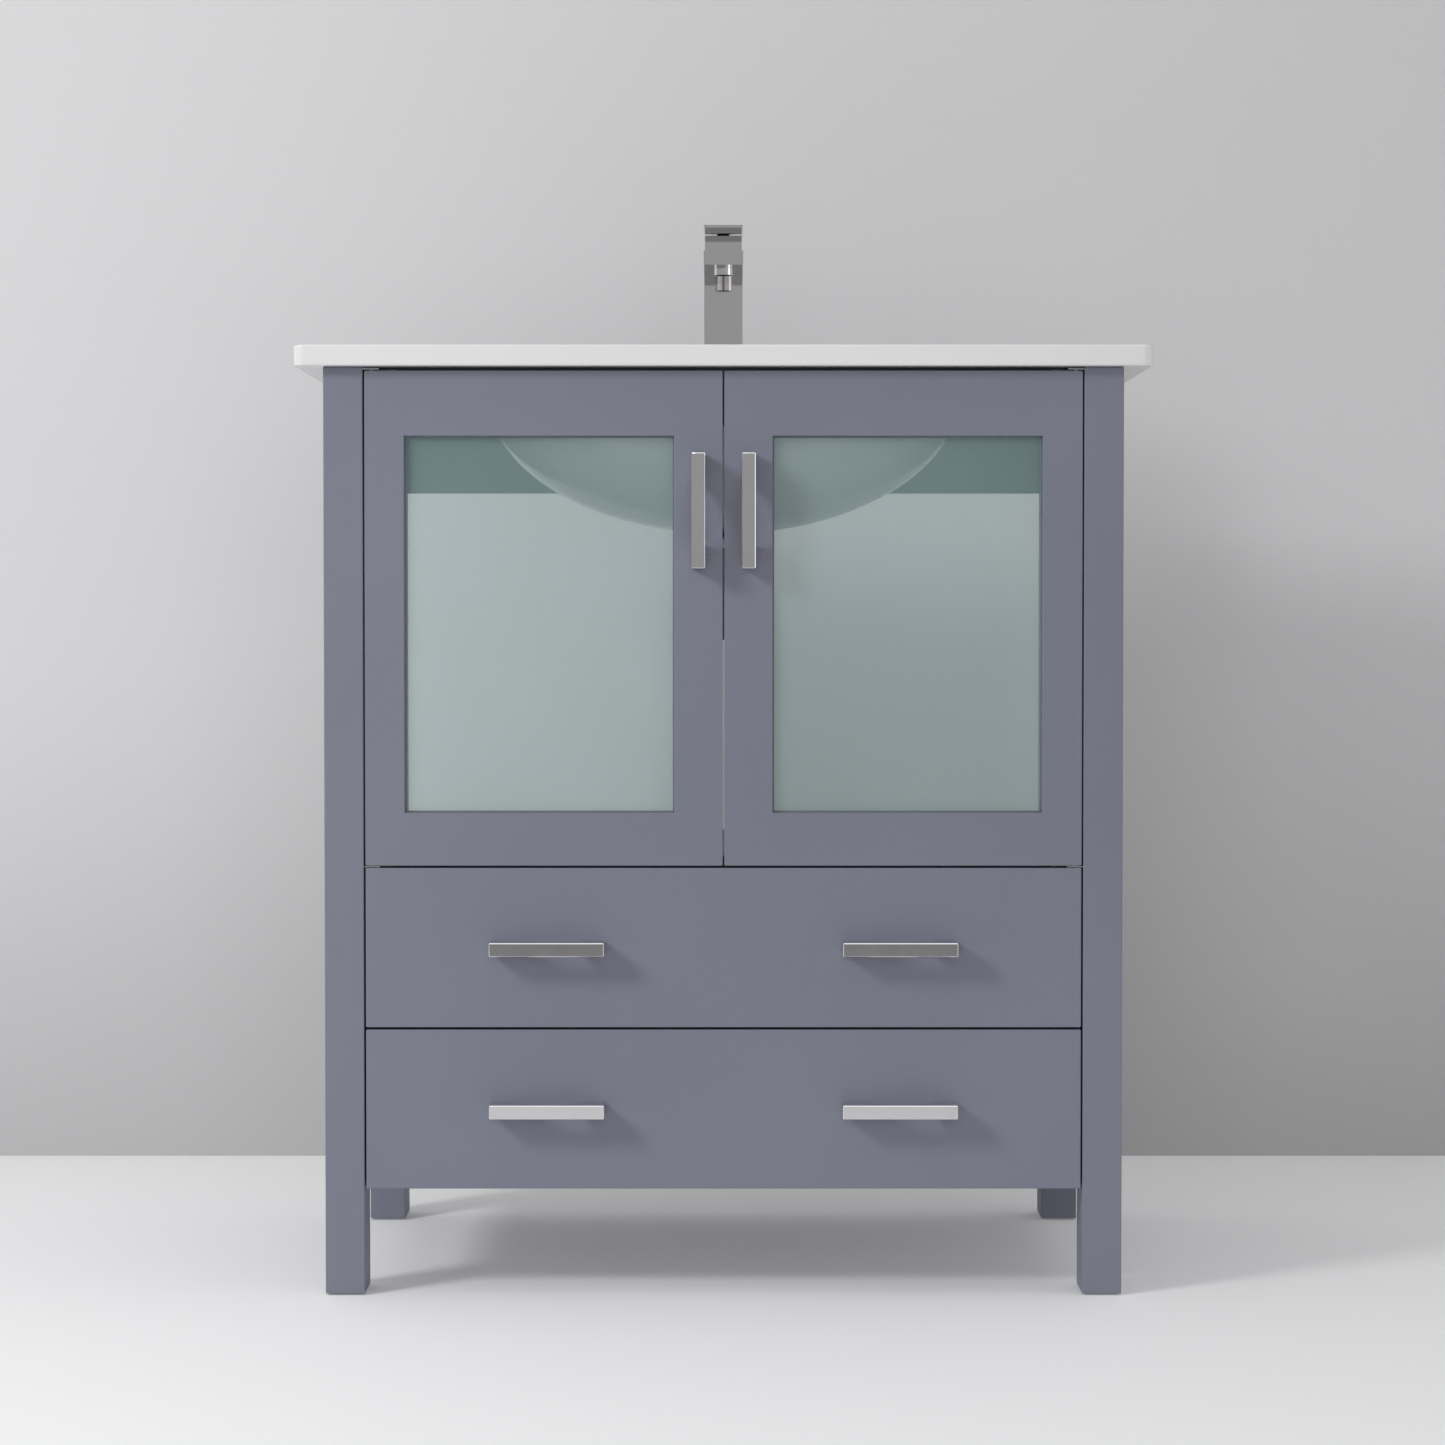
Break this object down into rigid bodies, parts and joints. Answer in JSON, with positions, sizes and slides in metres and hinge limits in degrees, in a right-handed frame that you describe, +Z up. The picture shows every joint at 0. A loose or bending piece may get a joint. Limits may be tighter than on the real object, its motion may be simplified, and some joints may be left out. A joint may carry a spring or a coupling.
{
  "type": "bathroom vanity cabinet",
  "caption": "Free-standing bathroom vanity cabinet with glazed inset doors over full-width drawers, a ceramic top with an oval basin, and a square single-lever tap.",
  "frame": {"origin": "middle of the bounding box's footprint, on the floor the legs stand on", "axes": "+X to the right seen from the front, +Y from the doors to the open back, +Z up"},
  "size_m": [0.762, 0.472, 0.9896],
  "materials": {
    "cabinet_paint": "satin",
    "drawer_wood": "satin",
    "white_ceramic": "gloss",
    "chrome": "polished",
    "handle_chrome": "satin",
    "zinc_steel": "satin",
    "door_glass": "polished",
    "rubber": "matte",
    "nylon": "satin",
    "cartridge_plastic": "satin"
  },
  "bodies": {
    "cabinet": {"front_left_leg": "cabinet_paint", "front_right_leg": "cabinet_paint", "rear_left_leg": "cabinet_paint", "rear_right_leg": "cabinet_paint", "leg_glides": "nylon", "left_side_panel": "cabinet_paint", "right_side_panel": "cabinet_paint", "front_top_rail": "cabinet_paint", "rear_top_rail": "cabinet_paint", "cabinet_floor": "cabinet_paint", "drawer_divider_rail": "cabinet_paint", "bottom_board": "cabinet_paint", "rear_bottom_rail": "cabinet_paint", "corner_blocks": "drawer_wood", "door_hinge_brackets": "zinc_steel", "door_catches": "nylon", "cabinet_screws": "zinc_steel", "slide_cabinet_members": "zinc_steel", "vanity_top": "white_ceramic", "basin": "white_ceramic", "drain_flange": "chrome", "drain_body": "chrome", "drain_gasket": "rubber", "drain_locknut": "chrome", "tailpiece": "chrome", "tap_body": "chrome", "tap_aerator": "chrome", "tap_base_gasket": "rubber", "tap_shank": "chrome", "tap_mounting_nut": "zinc_steel", "tap_cartridge": "cartridge_plastic", "tap_bonnet_ring": "zinc_steel"},
    "left_door": {"left_door_stiles": "cabinet_paint", "left_door_rails": "cabinet_paint", "left_door_glass": "door_glass", "left_glass_beads": "cabinet_paint", "left_door_handle": "handle_chrome", "left_handle_screws": "zinc_steel", "left_door_fittings": "zinc_steel"},
    "right_door": {"right_door_stiles": "cabinet_paint", "right_door_rails": "cabinet_paint", "right_door_glass": "door_glass", "right_glass_beads": "cabinet_paint", "right_door_handle": "handle_chrome", "right_handle_screws": "zinc_steel", "right_door_fittings": "zinc_steel"},
    "upper_drawer": {"upper_drawer_front": "cabinet_paint", "upper_drawer_box": "drawer_wood", "upper_drawer_handles": "handle_chrome", "upper_slide_drawer_members": "zinc_steel"},
    "upper_slide": {"upper_slide_middle_members": "zinc_steel"},
    "lower_drawer": {"lower_drawer_front": "cabinet_paint", "lower_drawer_box": "drawer_wood", "lower_drawer_handles": "handle_chrome", "lower_slide_drawer_members": "zinc_steel"},
    "lower_slide": {"lower_slide_middle_members": "zinc_steel"},
    "tap_cap": {"tap_swivel": "chrome", "tap_lever_pin": "zinc_steel"},
    "tap_handle": {"tap_lever": "chrome"},
    "stopper": {"drain_stopper": "chrome"}
  },
  "joints": [
    {"name": "left_door_swing", "type": "hinge", "parent": "cabinet", "child": "left_door", "pos_m": [-0.313, -0.204, 0.6], "axis": [0, 0, -1], "range_deg": [0, 110]},
    {"name": "right_door_swing", "type": "hinge", "parent": "cabinet", "child": "right_door", "pos_m": [0.313, -0.204, 0.6], "axis": [0, 0, 1], "range_deg": [0, 110]},
    {"name": "upper_drawer_pull", "type": "slide", "parent": "cabinet", "child": "upper_drawer", "axis": [0, -1, 0], "range_m": [0, 0.3]},
    {"name": "upper_slide_travel", "type": "slide", "parent": "cabinet", "child": "upper_slide", "axis": [0, -1, 0], "range_m": [0, 0.15]},
    {"name": "lower_drawer_pull", "type": "slide", "parent": "cabinet", "child": "lower_drawer", "axis": [0, -1, 0], "range_m": [0, 0.3]},
    {"name": "lower_slide_travel", "type": "slide", "parent": "cabinet", "child": "lower_slide", "axis": [0, -1, 0], "range_m": [0, 0.15]},
    {"name": "tap_cap_turn", "type": "hinge", "parent": "cabinet", "child": "tap_cap", "pos_m": [0, 0.172, 0.97], "axis": [0, 0, 1], "range_deg": [-45, 45]},
    {"name": "tap_lever_lift", "type": "hinge", "parent": "tap_cap", "child": "tap_handle", "pos_m": [0, 0.18, 0.975], "axis": [-1, 0, 0], "range_deg": [0, 25]},
    {"name": "stopper_lift", "type": "slide", "parent": "cabinet", "child": "stopper", "axis": [0, 0, 1], "range_m": [0, 0.008]}
  ],
  "couplings": [
    {"joint": "upper_slide_travel", "follows": "upper_drawer_pull", "ratio": 0.5},
    {"joint": "lower_slide_travel", "follows": "lower_drawer_pull", "ratio": 0.5}
  ]
}
